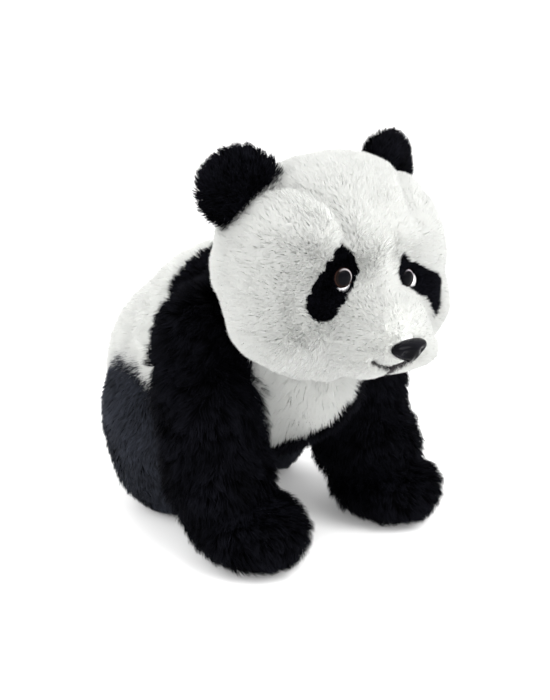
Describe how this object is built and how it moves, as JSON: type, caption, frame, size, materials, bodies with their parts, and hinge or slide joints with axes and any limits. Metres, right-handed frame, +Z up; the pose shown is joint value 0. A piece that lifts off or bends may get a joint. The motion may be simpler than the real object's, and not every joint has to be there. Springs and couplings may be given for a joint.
{
  "type": "plush toy panda",
  "caption": "Soft stuffed panda cub standing on four thick legs, with a large round head, long pile, eye patches and a stub tail.",
  "frame": {"origin": "centre of the toy's box on the floor, under the body", "axes": "+Z up, the face towards -Y, the panda's own left towards +X"},
  "size_m": [0.29, 0.4059, 0.3809],
  "materials": {
    "white_plush": "long soft white pile on a knitted backing",
    "black_plush": "long soft black pile on a knitted backing",
    "white_thread": "twisted sewing thread",
    "black_thread": "twisted embroidery thread",
    "fibre_fill": "loose matte fibre",
    "bean_bag_cloth": "plain woven cloth round plastic beans",
    "black_plastic": "glossy",
    "iris_plastic": "glossy dark brown with a black pupil",
    "clear_plastic": "clear polished plastic dome",
    "natural_plastic": "satin natural plastic"
  },
  "bodies": {
    "torso": {"back_panel_left": "white_plush", "back_panel_right": "white_plush", "seat_panel": "white_plush", "chest_panel": "white_plush", "closing_seam": "white_thread", "shoulder_band": "black_plush", "belly_band": "black_plush", "torso_fill": "fibre_fill", "rump_bean_bag": "bean_bag_cloth"},
    "neck": {"neck_fill": "fibre_fill"},
    "head": {"head_gusset": "white_plush", "head_side_panel_left": "white_plush", "head_side_panel_right": "white_plush", "eye_patch_left": "black_plush", "eye_dome_left": "clear_plastic", "eye_iris_left": "iris_plastic", "eye_stem_left": "black_plastic", "eye_washer_left": "natural_plastic", "eye_patch_right": "black_plush", "eye_dome_right": "clear_plastic", "eye_iris_right": "iris_plastic", "eye_stem_right": "black_plastic", "eye_washer_right": "natural_plastic", "nose": "black_plastic", "nose_washer": "natural_plastic", "mouth_thread": "black_thread", "muzzle_panel": "white_plush", "head_fill": "fibre_fill"},
    "tail": {"tail_upper_panel": "white_plush", "tail_lower_panel": "white_plush", "tail_fill": "fibre_fill"},
    "foreleg_left": {"foreleg_outer_panel_left": "black_plush", "foreleg_inner_panel_left": "black_plush", "foreleg_sole_left": "black_plush", "foreleg_fill_left": "fibre_fill", "foreleg_bean_bag_left": "bean_bag_cloth"},
    "hind_leg_left": {"hind_leg_outer_panel_left": "black_plush", "hind_leg_inner_panel_left": "black_plush", "hind_leg_sole_left": "black_plush", "hind_leg_fill_left": "fibre_fill", "hind_leg_bean_bag_left": "bean_bag_cloth"},
    "ear_left": {"ear_front_panel_left": "black_plush", "ear_back_panel_left": "black_plush"},
    "foreleg_right": {"foreleg_outer_panel_right": "black_plush", "foreleg_inner_panel_right": "black_plush", "foreleg_sole_right": "black_plush", "foreleg_fill_right": "fibre_fill", "foreleg_bean_bag_right": "bean_bag_cloth"},
    "hind_leg_right": {"hind_leg_outer_panel_right": "black_plush", "hind_leg_inner_panel_right": "black_plush", "hind_leg_sole_right": "black_plush", "hind_leg_fill_right": "fibre_fill", "hind_leg_bean_bag_right": "bean_bag_cloth"},
    "ear_right": {"ear_front_panel_right": "black_plush", "ear_back_panel_right": "black_plush"}
  },
  "joints": [
    {"name": "neck_turn", "type": "hinge", "parent": "torso", "child": "neck", "pos_m": [0, -0.029, 0.206], "axis": [0, 0, 1], "range_deg": [-8, 8], "stiffness_Nm_per_rad": 6},
    {"name": "neck_nod", "type": "hinge", "parent": "neck", "child": "head", "pos_m": [0, -0.029, 0.206], "axis": [1, 0, 0], "range_deg": [-4, 6], "stiffness_Nm_per_rad": 12},
    {"name": "foreleg_left_swing", "type": "hinge", "parent": "torso", "child": "foreleg_left", "pos_m": [0.09, -0.029, 0.152], "axis": [-1, 0, 0], "range_deg": [-3, 12], "stiffness_Nm_per_rad": 8},
    {"name": "foreleg_right_swing", "type": "hinge", "parent": "torso", "child": "foreleg_right", "pos_m": [-0.09, -0.029, 0.152], "axis": [-1, 0, 0], "range_deg": [-3, 12], "stiffness_Nm_per_rad": 8},
    {"name": "hind_leg_left_swing", "type": "hinge", "parent": "torso", "child": "hind_leg_left", "pos_m": [0.078, 0.091, 0.104], "axis": [-1, 0, 0], "range_deg": [-6, 3], "stiffness_Nm_per_rad": 8},
    {"name": "hind_leg_right_swing", "type": "hinge", "parent": "torso", "child": "hind_leg_right", "pos_m": [-0.078, 0.091, 0.104], "axis": [-1, 0, 0], "range_deg": [-6, 3], "stiffness_Nm_per_rad": 8},
    {"name": "tail_lift", "type": "hinge", "parent": "torso", "child": "tail", "pos_m": [0, 0.165, 0.104], "axis": [1, 0, 0], "range_deg": [0, 20], "stiffness_Nm_per_rad": 0.05},
    {"name": "ear_left_flex", "type": "hinge", "parent": "head", "child": "ear_left", "pos_m": [0.078, -0.08, 0.321], "axis": [0.9563, 0.2924, 0], "range_deg": [-18, 18], "stiffness_Nm_per_rad": 0.12},
    {"name": "ear_right_flex", "type": "hinge", "parent": "head", "child": "ear_right", "pos_m": [-0.078, -0.08, 0.321], "axis": [0.9563, -0.2924, 0], "range_deg": [-18, 18], "stiffness_Nm_per_rad": 0.12}
  ]
}
